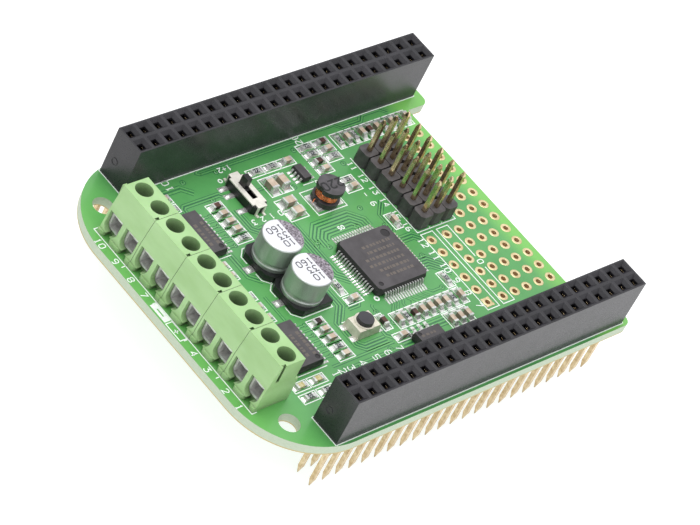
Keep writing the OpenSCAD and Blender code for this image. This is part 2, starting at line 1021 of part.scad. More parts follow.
circuit_board();
socket_housing(-1);  // front_socket_housing
socket_housing(1);  // rear_socket_housing
socket_contacts(-1);  // front_socket_contacts
socket_contacts(1);  // rear_socket_contacts
servo_header_housing();
servo_header_pins();
terminal_housings();
terminal_contacts();
terminal_screw(1);  // terminal_screw_1
terminal_screw(2);  // terminal_screw_2
terminal_screw(3);  // terminal_screw_3
terminal_screw(4);  // terminal_screw_4
terminal_screw(5);  // terminal_screw_5
terminal_screw(6);  // terminal_screw_6
terminal_screw(7);  // terminal_screw_7
terminal_screw(8);  // terminal_screw_8
terminal_screw(9);  // terminal_screw_9
terminal_screw(10);  // terminal_screw_10
terminal_clamp(1);  // terminal_clamp_1
terminal_clamp(2);  // terminal_clamp_2
terminal_clamp(3);  // terminal_clamp_3
terminal_clamp(4);  // terminal_clamp_4
terminal_clamp(5);  // terminal_clamp_5
terminal_clamp(6);  // terminal_clamp_6
terminal_clamp(7);  // terminal_clamp_7
terminal_clamp(8);  // terminal_clamp_8
terminal_clamp(9);  // terminal_clamp_9
terminal_clamp(10);  // terminal_clamp_10
controller_package();
controller_leads();
motor_driver_packages();
motor_driver_leads();
regulator_package();
regulator_leads();
memory_package();
memory_leads();
capacitor_cans();
capacitor_bases();
capacitor_leads();
inductor_core();
inductor_winding();
inductor_terminals();
switch_case();
switch_cover();
switch_slider();
switch_wiper();
switch_leads();
button_base();
button_cover();
button_plunger();
button_dome();
button_leads();
chip_resistors();
chip_capacitors();
chip_beads();
chip_ends();
status_leds();
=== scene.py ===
import json
import math
import random

import bmesh
import bpy
from mathutils import Matrix, Vector


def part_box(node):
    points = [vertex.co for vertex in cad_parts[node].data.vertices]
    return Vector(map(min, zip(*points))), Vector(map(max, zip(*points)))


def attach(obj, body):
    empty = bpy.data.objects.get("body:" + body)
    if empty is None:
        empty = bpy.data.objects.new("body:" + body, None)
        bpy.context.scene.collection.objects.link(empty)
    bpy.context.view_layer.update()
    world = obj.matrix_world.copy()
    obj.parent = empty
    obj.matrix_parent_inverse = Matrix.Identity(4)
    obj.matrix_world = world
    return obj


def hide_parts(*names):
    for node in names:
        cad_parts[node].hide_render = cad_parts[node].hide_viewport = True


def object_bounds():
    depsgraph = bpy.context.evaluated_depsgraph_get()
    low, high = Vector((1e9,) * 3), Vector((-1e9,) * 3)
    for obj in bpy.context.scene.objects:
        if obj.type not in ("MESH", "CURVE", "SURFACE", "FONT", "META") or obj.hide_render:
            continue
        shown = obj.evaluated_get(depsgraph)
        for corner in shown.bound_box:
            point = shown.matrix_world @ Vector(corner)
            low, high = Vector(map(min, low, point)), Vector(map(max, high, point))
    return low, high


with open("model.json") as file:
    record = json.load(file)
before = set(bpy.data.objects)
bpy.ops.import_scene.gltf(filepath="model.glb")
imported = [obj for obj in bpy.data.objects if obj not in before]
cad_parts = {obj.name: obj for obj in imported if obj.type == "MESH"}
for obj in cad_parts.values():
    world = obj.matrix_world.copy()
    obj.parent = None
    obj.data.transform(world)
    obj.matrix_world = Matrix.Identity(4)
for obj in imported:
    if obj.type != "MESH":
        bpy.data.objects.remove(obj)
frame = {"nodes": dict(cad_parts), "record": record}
cad_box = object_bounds()

MM = 0.001
BOARD = "board"
PITCH = 2.54

# Heights of the printed layers above the board, in millimetres
GAP_T = 0.006
TRACE_T = 0.022
PAD_T = 0.04
SILK_T = 0.035


# ---- Places, read from the frame, in millimetres ----

def node_box(node):
    """A node's two corners in millimetres."""
    low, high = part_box(node)
    return low / MM, high / MM


def islands(node):
    """Boxes of a node's separate solids, as (low, high) pairs in millimetres."""
    mesh = frame["nodes"][node].data
    keys = {}
    index = []
    for vertex in mesh.vertices:
        key = tuple(round(c * 1e6) for c in vertex.co)
        index.append(keys.setdefault(key, len(keys)))
    parent = list(range(len(keys)))

    def root(i):
        while parent[i] != i:
            parent[i] = parent[parent[i]]
            i = parent[i]
        return i

    for polygon in mesh.polygons:
        first = root(index[polygon.vertices[0]])
        for v in polygon.vertices[1:]:
            parent[root(index[v])] = first
            first = root(first)
    boxes = {}
    for vertex, i in zip(mesh.vertices, index):
        co = vertex.co / MM
        r = root(i)
        if r not in boxes:
            boxes[r] = (co.copy(), co.copy())
        low, high = boxes[r]
        for axis in range(3):
            low[axis] = min(low[axis], co[axis])
            high[axis] = max(high[axis], co[axis])
    return sorted(boxes.values(), key=lambda b: (round(b[0].x, 2), round(b[0].y, 2)))


def centre(box):
    return (box[0] + box[1]) / 2


board_low, board_high = node_box("circuit_board")
TOP = board_high.z
# The board's end between the two sockets, which reach past it
board_verts = frame["nodes"]["circuit_board"].data.vertices
inner_end = max(v.co.x for v in board_verts if abs(v.co.y) < 10 * MM) / MM
front_box = node_box("front_socket_housing")
rear_box = node_box("rear_socket_housing")
MID_X = centre(front_box).x


def at(x, y):
    """A place on the board, from the middle of the two sockets."""
    return (MID_X + x, y)


# ---- Mesh building ----

def angles(count):
    """Even steps of one full turn."""
    return [2 * math.pi * k / count for k in range(count)]


def shifted(points, distance, closed=False):
    """A line of points moved to its left, with mitred corners."""
    n = len(points)
    moved = []
    for i, (x, y) in enumerate(points):
        before = points[i - 1] if closed or i > 0 else None
        after = points[(i + 1) % n] if closed or i < n - 1 else None
        sides = []
        for a, b in ((before, (x, y)), ((x, y), after)):
            if a is not None and b is not None:
                d = Vector((b[0] - a[0], b[1] - a[1])).normalized()
                sides.append(Vector((-d.y, d.x)))
        normal = sum(sides, Vector((0, 0))).normalized()
        reach = distance / max(0.4, normal.dot(sides[0]))
        moved.append((x + normal.x * reach, y + normal.y * reach))
    return moved


class Shape:
    """Collects closed solids, in millimetres, and turns them into one piece."""

    def __init__(self):
        self.verts = []
        self.faces = []

    def add(self, verts, faces):
        base = len(self.verts)
        self.verts += [tuple(v) for v in verts]
        self.faces += [tuple(base + i for i in face) for face in faces]

    def prism(self, outline, low, high):
        n = len(outline)
        verts = [(x, y, low) for x, y in outline] + [(x, y, high) for x, y in outline]
        faces = [tuple(range(n - 1, -1, -1)), tuple(range(n, 2 * n))]
        faces += [(i, (i + 1) % n, n + (i + 1) % n, n + i) for i in range(n)]
        self.add(verts, faces)

    def box(self, x0, y0, x1, y1, low, high):
        self.prism([(x0, y0), (x1, y0), (x1, y1), (x0, y1)], low, high)

    def disc(self, x, y, radius, low, high, sides=24):
        self.prism([(x + radius * math.cos(a), y + radius * math.sin(a)) for a in angles(sides)], low, high)

    def loft(self, rings, closed=False):
        """Skin through rings of equal length; a closed loft has no end caps."""
        n = len(rings[0])
        verts = [v for ring in rings for v in ring]
        faces = []
        last = len(rings) if closed else len(rings) - 1
        for r in range(last):
            a, b = r * n, ((r + 1) % len(rings)) * n
            faces += [(a + i, a + (i + 1) % n, b + (i + 1) % n, b + i) for i in range(n)]
        if not closed:
            faces.append(tuple(range(n - 1, -1, -1)))
            faces.append(tuple(range((len(rings) - 1) * n, len(rings) * n)))
        self.add(verts, faces)

    def lathe(self, x, y, profile, sides=24):
        """Turns a closed profile of (radius, z) about the vertical line at x, y."""
        self.loft([[(x + r * math.cos(a), y + r * math.sin(a), z) for r, z in profile]
                   for a in angles(sides)], closed=True)

    def ribbon(self, points, width, low, high, closed=False):
        """Flat strip along a line of points, with mitred corners."""
        left = shifted(points, width / 2, closed)
        right = shifted(points, -width / 2, closed)
        rings = []
        for (lx, ly), (rx, ry) in zip(left, right):
            rings.append([(lx, ly, low), (rx, ry, low), (rx, ry, high), (lx, ly, high)])
        self.loft(rings, closed=closed)

    def mound(self, x0, y0, x1, y1, low, height):
        """Pillow of solder over a rectangle."""
        cx, cy = (x0 + x1) / 2, (y0 + y1) / 2
        rings = []
        for inset, rise in ((1.0, 0.0), (0.9, 0.4), (0.72, 0.75), (0.45, 0.95), (0.15, 1.0)):
            hx, hy = (x1 - x0) / 2 * inset, (y1 - y0) / 2 * inset
            c = min(hx, hy) * 0.45
            corners = [(-hx + c, -hy), (hx - c, -hy), (hx, -hy + c), (hx, hy - c),
                       (hx - c, hy), (-hx + c, hy), (-hx, hy - c), (-hx, -hy + c)]
            rings.append([(cx + x, cy + y, low + height * rise) for x, y in corners])
        self.loft(rings)

    def piece(self, name, material, body=BOARD, smooth=30):
        mesh = bpy.data.meshes.new(name)
        mesh.from_pydata([Vector(v) * MM for v in self.verts], [], self.faces)
        mesh.validate()
        mesh.polygons.foreach_set("use_smooth", [True] * len(mesh.polygons))
        mesh.set_sharp_from_angle(angle=math.radians(smooth))
        obj = bpy.data.objects.new(name, mesh)
        bpy.context.scene.collection.objects.link(obj)
        flip_inward(obj)
        obj.data.materials.append(material)
        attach(obj, body)
        return obj


def flip_inward(obj):
    """Makes every face of a piece point outwards."""
    bm = bmesh.new()
    bm.from_mesh(obj.data)
    bmesh.ops.recalc_face_normals(bm, faces=bm.faces)
    bm.to_mesh(obj.data)
    bm.free()


def outline(x0, y0, x1, y1):
    return [(x0, y0), (x1, y0), (x1, y1), (x0, y1)]


# ---- Materials ----

def linear(red, green, blue):
    """A colour given as 0 to 255 display values, in scene linear."""
    def channel(c):
        c /= 255
        return c / 12.92 if c <= 0.04045 else ((c + 0.055) / 1.055) ** 2.4
    return (channel(red), channel(green), channel(blue), 1)


class Finish:
    """Builds a node material. Lengths in it are in millimetres of the row frame."""

    def __init__(self, name):
        self.material = bpy.data.materials.new(name)
        self.material.use_nodes = True
        self.tree = self.material.node_tree
        self.bsdf = self.tree.nodes["Principled BSDF"]
        coords = self.make("ShaderNodeTexCoord")
        scale = self.make("ShaderNodeVectorMath", operation="SCALE")
        scale.inputs["Scale"].default_value = 1 / MM
        self.tree.links.new(coords.outputs["Object"], scale.inputs[0])
        self.place = scale.outputs[0]

    def make(self, kind, **settings):
        node = self.tree.nodes.new(kind)
        for key, value in settings.items():
            setattr(node, key, value)
        return node

    def feed(self, socket, value):
        if isinstance(value, bpy.types.NodeSocket):
            self.tree.links.new(value, socket)
        else:
            socket.default_value = value

    def set(self, **inputs):
        for key, value in inputs.items():
            self.feed(self.bsdf.inputs[key.replace("_", " ")], value)
        return self

    def stretched(self, x, y, z):
        node = self.make("ShaderNodeVectorMath", operation="MULTIPLY")
        self.feed(node.inputs[0], self.place)
        node.inputs[1].default_value = (x, y, z)
        return node.outputs[0]

    def noise(self, per_mm, detail=3.0, rough=0.55, place=None):
        node = self.make("ShaderNodeTexNoise")
        self.feed(node.inputs["Vector"], place or self.place)
        node.inputs["Scale"].default_value = per_mm
        node.inputs["Detail"].default_value = detail
        node.inputs["Roughness"].default_value = rough
        return node.outputs["Fac"]

    def wave(self, per_mm, direction="Z", distortion=1.0):
        node = self.make("ShaderNodeTexWave", bands_direction=direction)
        self.feed(node.inputs["Vector"], self.place)
        node.inputs["Scale"].default_value = per_mm
        node.inputs["Distortion"].default_value = distortion
        return node.outputs["Fac"]

    def ramp(self, value, low, high, to_low=0.0, to_high=1.0):
        node = self.make("ShaderNodeMapRange")
        self.feed(node.inputs["Value"], value)
        ends = {"From Min": low, "From Max": high, "To Min": to_low, "To Max": to_high}
        for name, end in ends.items():
            node.inputs[name].default_value = end
        return node.outputs["Result"]

    def math(self, operation, a, b=0.0):
        node = self.make("ShaderNodeMath", operation=operation)
        self.feed(node.inputs[0], a)
        self.feed(node.inputs[1], b)
        return node.outputs[0]

    def mix(self, fac, a, b):
        node = self.make("ShaderNodeMix", data_type="RGBA")
        self.feed(node.inputs["Factor"], fac)
        self.feed(node.inputs[6], a)
        self.feed(node.inputs[7], b)
        return node.outputs[2]

    def tones(self, value, dark, light):
        """Two colours mixed by a noise, which mostly lies between 0.3 and 0.7."""
        return self.mix(self.ramp(value, 0.3, 0.7), dark, light)

    def rough(self, value, smooth, dull):
        return self.set(Roughness=self.ramp(value, 0.3, 0.7, smooth, dull))

    def axis(self, name, source=None):
        node = self.make("ShaderNodeSeparateXYZ")
        self.feed(node.inputs[0], source or self.place)
        return node.outputs[name]

    def face_up(self):
        """1 on faces that look up or down, 0 on upright ones."""
        geometry = self.make("ShaderNodeNewGeometry")
        z = self.axis("Z", geometry.outputs["Normal"])
        return self.math("GREATER_THAN", self.math("ABSOLUTE", z), 0.5)

    def hollow(self, reach_mm, shade, colour):
        """Painted shade: the colour, darkened by the shade factor inside hollows of about the given reach."""
        node = self.make("ShaderNodeAmbientOcclusion", samples=6)
        node.inputs["Distance"].default_value = reach_mm * MM
        dark = self.mix(shade, (0, 0, 0, 1), colour)
        return self.mix(self.ramp(node.outputs["AO"], 0.1, 0.75), dark, colour)

    def relief(self, height, depth_mm, edge_mm=0.0):
        """Bump of the given depth over rounded edges."""
        bump = self.make("ShaderNodeBump")
        bump.inputs["Strength"].default_value = 1.0
        bump.inputs["Distance"].default_value = depth_mm * MM
        self.feed(bump.inputs["Height"], height)
        if edge_mm:
            bevel = self.make("ShaderNodeBevel", samples=4)
            bevel.inputs["Radius"].default_value = edge_mm * MM
            self.tree.links.new(bevel.outputs[0], bump.inputs["Normal"])
        self.tree.links.new(bump.outputs[0], self.bsdf.inputs["Normal"])
        return self


def plastic(name, dark, light, grain=6.0, rough=0.45, edge=0.08, depth=0.012):
    """Moulded plastic: slow shade changes, fine grain and softened edges."""
    f = Finish(name)
    shade = f.noise(0.35, 2)
    fine = f.noise(grain, 4)
    f.set(Base_Color=f.tones(shade, dark, light))
    f.rough(fine, rough - 0.07, rough + 0.1)
    return f.relief(fine, depth, edge).material


def metal(name, dark, light, rough=0.28, brushed=(1, 1, 1), edge=0.03, depth=0.004, metallic=1.0):
    """Plated or bare metal with a faint draw direction."""
    f = Finish(name)
    lines = f.noise(9, 3, place=f.stretched(*brushed))
    patches = f.noise(1.4, 2)
    f.set(Base_Color=f.tones(patches, dark, light), Metallic=metallic)
    f.rough(lines, rough - 0.08, rough + 0.12)
    return f.relief(lines, depth, edge).material


def gold_material():
    """Thin gold on the pins, with painted shade that darkens it where it stands inside a socket."""
    f = Finish("gold_flash")
    lines = f.noise(9, 3, place=f.stretched(0.3, 0.3, 0.04))
    patches = f.noise(1.4, 2)
    gold = f.tones(patches, linear(190, 164, 124), linear(226, 206, 170))
    f.set(Base_Color=f.hollow(1.2, 0.1, gold), Metallic=1.0)
    f.rough(lines, 0.14, 0.32)
    return f.relief(lines, 0.0004, 0.05).material


def mask_material(name, base, light, rough=0.32):
    """Green solder mask: slow mottling over copper, faint glass weave, and a clear glossy skin.

    Gives the finish, still without relief, and its fine noise."""
    f = Finish(name)
    slow = f.noise(0.12, 3)
    fine = f.noise(2.2, 4)
    weave_x = f.wave(1.5, "X", 0.6)
    weave_y = f.wave(1.5, "Y", 0.6)
    weave = f.math("MULTIPLY", weave_x, weave_y)
    tone = f.math("ADD", f.math("MULTIPLY", slow, 0.75), f.math("MULTIPLY", weave, 0.12))
    f.set(Base_Color=f.mix(f.ramp(tone, 0.25, 0.62), base, light))
    f.rough(fine, rough - 0.06, rough + 0.08)
    f.set(Coat_Weight=MASK_COAT, Coat_Roughness=0.16)
    return f, fine


def rim_glow(f, colour):
    """Painted light that the laminate passes on: wide and faint at the terminals, narrow at the inner end."""
    x = f.axis("X")
    left = f.ramp(x, board_low.x + 11, board_low.x + 1, 0, 0.45)
    right = f.ramp(x, inner_end - 2.6, inner_end, 0, 0.9)
    return f.mix(f.math("MAXIMUM", left, right), colour, MASK_GLOW)


MASK_DARK = linear(74, 150, 80)
MASK_LIGHT = linear(98, 172, 96)
# Colour of the painted glow near the board's ends
MASK_GLOW = linear(124, 196, 92)
MASK_COAT = 0.45


def board_material():
    """Mask on the flat faces, layered glass and resin on the cut edges."""
    f, fine = mask_material("board_mask", MASK_DARK, MASK_LIGHT)
    # The mask colour with painted light near the board's ends
    mask_colour = rim_glow(f, f.bsdf.inputs["Base Color"].links[0].from_socket)
    layers = f.wave(2.4, "Z", 1.2)
    fibres = f.noise(2.2, 3, place=f.stretched(1, 1, 6))
    edge_tone = f.math("ADD", f.math("MULTIPLY", layers, 0.4), f.math("MULTIPLY", fibres, 0.6))
    resin = f.mix(f.ramp(edge_tone, 0.2, 0.8), linear(168, 184, 158), linear(204, 214, 194))
    # A brown line of bare laminate at the foot of the cut
    foot = f.ramp(f.axis("Z"), 0.28, 0.1)
    edge = f.mix(foot, resin, linear(196, 176, 122))
    up = f.face_up()
    # Painted shade: the cut edges and hole walls are darkened where they lie in hollows
    f.set(Base_Color=f.mix(up, f.hollow(3.0, 0.45, edge), mask_colour))
    f.set(Coat_Weight=f.math("MULTIPLY", up, MASK_COAT))
    f.set(Roughness=f.ramp(up, 0, 1, 0.7, 0.32))
    return f.relief(f.math("ADD", fine, f.math("MULTIPLY", layers, 0.3)), 0.006, 0.05).material


def trace_material():
    f, fine = mask_material("trace_mask", linear(86, 160, 88), linear(110, 184, 106), 0.3)
    f.set(Base_Color=rim_glow(f, f.bsdf.inputs["Base Color"].links[0].from_socket))
    return f.relief(fine, 0.004).material


def gap_material():
    f, fine = mask_material("gap_mask", linear(36, 100, 62), linear(50, 118, 74), 0.36)
    return f.relief(fine, 0.004).material


def silk_material():
    f = Finish("silk_ink")
    worn = f.noise(5, 5, 0.7)
    f.set(Base_Color=f.mix(f.ramp(worn, 0.25, 0.5), linear(205, 226, 208), linear(246, 250, 246)))
    f.rough(worn, 0.5, 0.68)
    return f.relief(worn, 0.006).material


def solder_material():
    f = Finish("solder_joint")
    pools = f.noise(1.6, 2)
    tone = f.tones(pools, linear(214, 214, 210), linear(250, 250, 246))
    f.set(Base_Color=tone, Metallic=0.7)
    f.rough(pools, 0.16, 0.3)
    return f.relief(pools, 0.03).material


def plated_material():
    """Hot-tinned pads of the plated holes, cream with a warm cast inside the barrel."""
    f = Finish("plated_pad")
    stain = f.noise(1.7, 4)
    from_middle = f.math("ABSOLUTE", f.math("SUBTRACT", f.axis("Z"), TOP / 2))
    depth = f.ramp(from_middle, TOP / 2 - 0.7, TOP / 2)
    rim = f.tones(stain, linear(214, 190, 138), linear(238, 222, 180))
    f.set(Base_Color=f.mix(depth, linear(176, 118, 58), rim), Metallic=f.ramp(depth, 0.3, 1.0, 0.1, 0.5))
    f.rough(stain, 0.3, 0.5)
    return f.relief(stain, 0.01, 0.03).material


def can_material():
    """Coated aluminium can: bright top with a dark stippled segment on the negative side."""
    f = Finish("can_coat")
    low, high = node_box("capacitor_cans")
    mid = centre(node_box("capacitor_cans")).x
    x = f.axis("X")
    z = f.axis("Z")
    top = f.math("GREATER_THAN", z, high.z - 0.02)
    segment = f.math("MULTIPLY", top, f.math("GREATER_THAN", x, mid + 1.15))
    stipple = f.noise(3.2, 4, 0.75)
    fine = f.noise(12, 3)
    speckle = f.mix(f.ramp(stipple, 0.42, 0.6), linear(74, 66, 74), linear(176, 168, 178))
    side = f.tones(fine, linear(176, 182, 178), linear(200, 206, 202))
    lid = f.tones(fine, linear(214, 214, 219), linear(232, 232, 236))
    coat = f.mix(top, side, lid)
    f.set(Base_Color=f.mix(segment, coat, speckle))
    f.set(Metallic=f.math("MULTIPLY", f.math("SUBTRACT", 1.0, top), 0.72))
    f.rough(fine, 0.38, 0.44)
    return f.relief(fine, 0.0003, 0.05).material


def epoxy_material():
    """Moulded epoxy: fine eroded grain, with slightly polished edges."""
    f = Finish("package_epoxy")
    grain = f.noise(16, 4, 0.6)
    cloud = f.noise(0.5, 2)
    body = f.tones(cloud, linear(64, 60, 63), linear(80, 76, 79))
    top = node_box("controller_package")[1].z
    z = f.axis("Z")
    # Painted shade: the sunk dimples on top are darker than the rest of the top
    sunk = f.math("MULTIPLY", f.math("LESS_THAN", z, top - 0.02), f.math("GREATER_THAN", z, top - 0.3))
    sunk = f.math("MULTIPLY", sunk, f.face_up())
    # Painted shade: upright faces are darker than the top
    body = f.mix(f.face_up(), linear(46, 43, 46), body)
    f.set(Base_Color=f.mix(sunk, body, linear(38, 35, 38)))
    f.rough(grain, 0.5, 0.66)
    f.set(Specular_IOR_Level=0.55)
    return f.relief(grain, 0.012, 0.05).material


def ceramic_material(name, dark, light, edge=0.05, shaded_side_level=1.0):
    """Fired ceramic, with painted shade: upright faces darker than the top, keeping the given share of the
    top's colour.
    """
    f = Finish(name)
    cloud = f.noise(0.9, 2)
    grain = f.noise(14, 3)
    top = f.mix(f.ramp(cloud, 0.35, 0.65), dark, light)
    # Painted shade on the upright faces
    side = f.mix(shaded_side_level, (0.01, 0.008, 0.006, 1), top)
    f.set(Base_Color=f.mix(f.face_up(), side, top))
    f.rough(grain, 0.38, 0.55)
    return f.relief(grain, 0.006, edge).material


def resistor_material():
    """Dark glaze on top of a white ceramic chip."""
    f = Finish("resistor_body")
    grain = f.noise(10, 3)
    geometry = f.make("ShaderNodeNewGeometry")
    up = f.math("GREATER_THAN", f.axis("Z", geometry.outputs["Normal"]), 0.7)
    glaze = f.tones(grain, linear(40, 40, 46), linear(66, 66, 72))
    white = f.tones(grain, linear(196, 194, 186), linear(226, 224, 216))
    f.set(Base_Color=f.mix(up, white, glaze), Roughness=0.35)
    return f.relief(grain, 0.004, 0.03).material


def wire_material():
    """Enamelled copper wire."""
    f = Finish("copper_wire")
    patch = f.noise(2.5, 3)
    tone = f.tones(patch, linear(176, 78, 36), linear(240, 146, 88))
    f.set(Base_Color=tone, Metallic=0.9)
    f.set(Roughness=f.ramp(patch, 0.3, 0.7, 0.16, 0.3), Coat_Weight=0.5)
    return f.relief(patch, 0.004).material


def terminal_material():
    """Light green nylon, slightly translucent, with flow marks."""
    f = Finish("terminal_nylon")
    flow = f.noise(0.22, 3, place=f.stretched(1, 0.5, 1.6))
    grain = f.noise(9, 4)
    nylon = f.tones(flow, linear(150, 188, 126), linear(168, 204, 146))
    # Painted shade: the nylon is darkened inside the housing's hollows
    f.set(Base_Color=f.hollow(2.6, 0.22, nylon))
    f.rough(grain, 0.36, 0.5)
    f.set(Subsurface_Weight=0.12, Subsurface_Radius=(0.5 * MM, 0.8 * MM, 0.3 * MM), Subsurface_Scale=1.0)
    return f.relief(grain, 0.01, 0.1).material


def led_material():
    f = Finish("led_body")
    cloud = f.noise(3, 3)
    f.set(Base_Color=f.mix(f.ramp(cloud, 0.35, 0.65), linear(214, 196, 120), linear(244, 236, 190)))
    f.set(Roughness=0.22, Transmission_Weight=0.25, Coat_Weight=0.5)
    return f.relief(cloud, 0.005, 0.04).material


M_SOCKET = plastic("socket_plastic", linear(34, 33, 37), linear(47, 45, 50), 7, 0.3, 0.06, 0.004)
M_BLACK = plastic("black_plastic", linear(16, 17, 19), linear(28, 28, 30), 7, 0.36, 0.06, 0.006)
M_STEEL = metal("zinc_steel", linear(168, 168, 168), linear(214, 214, 212), 0.3, (1, 1, 0.2))
M_TRACE = trace_material()
M_SILK = silk_material()
M_SOLDER = solder_material()
M_WIRE = wire_material()

# The look of each material slot in the frame
FINISHES = {
    "board": board_material(),
    "socket_plastic": M_SOCKET,
    "contact_gold": gold_material(),
    "header_plastic": ceramic_material("header_plastic", linear(70, 67, 69), linear(88, 85, 87), 0.08, 0.72),
    "terminal_plastic": terminal_material(),
    "tinned_copper": metal("bright_tin", linear(200, 200, 198), linear(236, 236, 233), 0.32, metallic=0.7),
    "screw_steel": M_STEEL,
    "clamp_steel": metal("nickel_clamp", linear(206, 202, 202), linear(246, 244, 244), 0.4, (1, 0.2, 1),
                         metallic=0.35),
    "package_epoxy": epoxy_material(),
    "can_aluminium": can_material(),
    "base_plastic": M_BLACK,
    "ferrite": ceramic_material("ferrite_core", linear(66, 63, 66), linear(86, 82, 86), 0.08, 0.35),
    "copper_wire": M_WIRE,
    "switch_plastic": M_BLACK,
    "switch_sheet": metal("switch_sheet", linear(222, 219, 208), linear(240, 236, 226), 0.4, (1, 0.15, 1),
                          0.04, 0.002, 0.3),
    "button_sheet": metal("button_sheet", linear(212, 206, 188), linear(236, 230, 214), 0.42, (0.2, 1, 1),
                          0.08, 0.002, 0.25),
    "button_plastic": plastic("button_cap", linear(50, 48, 54), linear(64, 62, 68), 9, 0.48, 0.08, 0.006),
    "dome_steel": M_STEEL,
    "resistor_body": resistor_material(),
    "ceramic_body": ceramic_material("capacitor_body", linear(182, 162, 142), linear(210, 192, 172),
                                     0.05, 0.6),
    "bead_body": ceramic_material("bead_body", linear(44, 34, 34), linear(92, 56, 44), 0.05, 0.5),
    "led_body": led_material(),
}

for entry in frame["record"]["subparts"]:
    node = frame["nodes"][entry["node"]]
    node.data.materials.clear()
    node.data.materials.append(FINISHES[entry["material_slot"]])


# ---- Traces and vias ----

traces = Shape()
gaps = Shape()
vias = Shape()
silk = Shape()


def layer(side, thick):
    """Lower and upper height of a layer on the top face or, with side -1, on the underside."""
    return (TOP, TOP + thick) if side > 0 else (-thick, 0.0)


def trace(points, width=0.24, gap=0.18, side=1):
    """A masked trace with the dark isolation gap around it."""
    line = [at(x, y) for x, y in points]
    gaps.ribbon(line, width + 2 * gap, *layer(side, GAP_T))
    traces.ribbon(line, width, *layer(side, TRACE_T))


def bundle(points, count, pitch=0.5, width=0.24, gap=0.13):
    """Parallel traces, each one pitch further to the left of the line."""
    for i in range(count):
        trace(shifted(points, i * pitch), width, gap)


def via(x, y, side=1, outer=0.36, hole=0.15):
    """Tented via: a ring of mask-covered copper around a dark dimple."""
    px, py = at(x, y)
    face = TOP if side > 0 else 0.0
    out = face + side * (TRACE_T + 0.012)
    gaps.disc(px, py, outer + 0.12, *layer(side, GAP_T), sides=20)
    vias.lathe(px, py, [(hole, face), (outer, face), (outer - 0.05, out), (hole + 0.04, out)], sides=20)
    gaps.disc(px, py, hole + 0.01, *layer(side, 2 * GAP_T), sides=12)


def controller_loops():
    """Nested loops from the controller's rear leads round to its left side."""
    ends = ((-7.05, 3.35), (-6.5, 3.85), (-5.95, 2.4), (-5.4, 2.5), (-4.85, 3.1), (-4.3, 3.2))
    for i, (x, y) in enumerate(ends):
        d = 0.55 * i
        top = 6.75 - d
        left = -4.9 + 0.414 * d
        trace([(4.05 - d, 3.3), (4.05 - d, 4.7 - 0.414 * d), (2.0 - 0.414 * d, top), (left, top),
               (x, top + x - left), (x, y)], 0.31, 0.12)
    for x, y in ((-7.05, 3.05), (-6.5, 3.55), (-5.3, 2.2)):
        via(x, y)


def controller_fan():
    """Traces from the controller's other leads."""
    bundle([(-8.75, 8.3), (-8.75, -2.6), (-6.9, -4.45)], 4)
    bundle([(-6.9, -6.3), (-7.9, -6.3), (-9.0, -7.4), (-10.6, -7.4)], 3, 0.45, 0.22)
    bundle([(-11.9, -4.2), (-11.9, -7.0), (-14.4, -9.5), (-14.4, -14.0), (-13.2, -15.2), (-8.9, -15.2)], 3)
    bundle([(6.6, -1.3), (8.6, -1.3), (9.7, -2.4)], 3, 0.5, 0.24)
    bundle([(6.6, -6.6), (7.2, -6.6), (9.6, -9.0)], 5, 0.5, 0.24)
    bundle([(6.6, 0.9), (7.0, 1.3), (7.0, 4.2), (9.0, 6.2)], 2, 0.45, 0.22)
    for x, x1 in ((-3.4, -4.6), (-2.4, -3.2), (-1.4, -1.8), (-0.4, -0.1), (0.6, 1.5), (1.6, 3.0), (2.6, 4.8)):
        turn = -10.1 - abs(x1 - x)
        trace([(x, -9.7), (x, -10.1), (x1, turn), (x1, min(turn - 0.2, -11.5))], 0.22, 0.12)
    trace([(3.6, -9.7), (4.3, -10.4), (6.0, -10.4)], 0.22, 0.13)
    via(6.3, -10.4)
    trace([(-6.6, -8.9), (-6.9, -9.2), (-6.9, -10.0)], 0.22, 0.13)


def power_traces():
    """Traces round the regulator, the driver chips, the switch and the rear socket."""
    bundle([(3.6, 20.6), (-15.0, 20.6)], 1)
    trace([(-14.9, 20.55), (-15.3, 20.65), (-15.6, 20.95), (-15.3, 21.25), (-14.9, 21.35), (9.0, 21.35)],
          0.24, 0.14)
    bundle([(-14.2, 16.0), (-14.9, 16.7), (-21.7, 16.7), (-22.3, 16.1), (-22.3, 15.3)], 2, 0.5, 0.24)
    trace([(-6.9, 15.0), (-8.6, 15.0)], 0.24, 0.14)
    trace([(-8.3, 17.0), (-9.4, 17.0), (-10.0, 16.4)], 0.24, 0.14)
    bundle([(8.9, 21.2), (12.0, 21.2), (13.0, 20.2), (17.0, 20.2), (18.0, 21.2), (21.5, 21.2), (22.5, 20.2)],
           2, 0.45, 0.22)
    bundle([(-21.3, 8.2), (-21.3, 2.2), (-19.7, 0.6)], 2, 0.55, 0.3)
    trace([(-21.3, -1.6), (-21.3, -6.2)], 0.24, 0.14)
    bundle([(-15.0, 13.2), (-15.0, 9.2), (-13.9, 8.1), (-11.2, 8.1)], 3, 0.5, 0.24)
    bundle([(-28.6, 19.2), (-20.0, 19.2), (-18.6, 17.8)], 2, 0.6, 0.3)
    bundle([(-20.6, -17.9), (-19.4, -19.1), (-12.0, -19.1), (-10.2, -20.9)], 4, 0.8, 0.24)
    bundle([(-20.2, -15.6), (-8.2, -15.6)], 1)
    bundle([(-7.2, -17.0), (-2.0, -17.0), (-1.0, -16.0), (2.6, -16.0)], 3, 0.55, 0.26)
    bundle([(-8.6, -12.9), (-8.6, -14.2), (-7.6, -15.2), (-1.2, -15.2)], 2, 0.55, 0.26)
    bundle([(-20.4, -18.4), (-11.0, -18.4), (-10.0, -17.4), (-8.0, -17.4)], 2, 0.6, 0.28)
    for y0 in (10.65, -10.95):
        for j in range(7):
            y = y0 + (j - 3) * 0.98
            x = -19.0 + 0.9 * (j % 2)
            trace([(-20.6, y), (-19.9, y), (x - 0.2, y)], 0.2, 0.12)
            via(x, y, outer=0.27, hole=0.1)


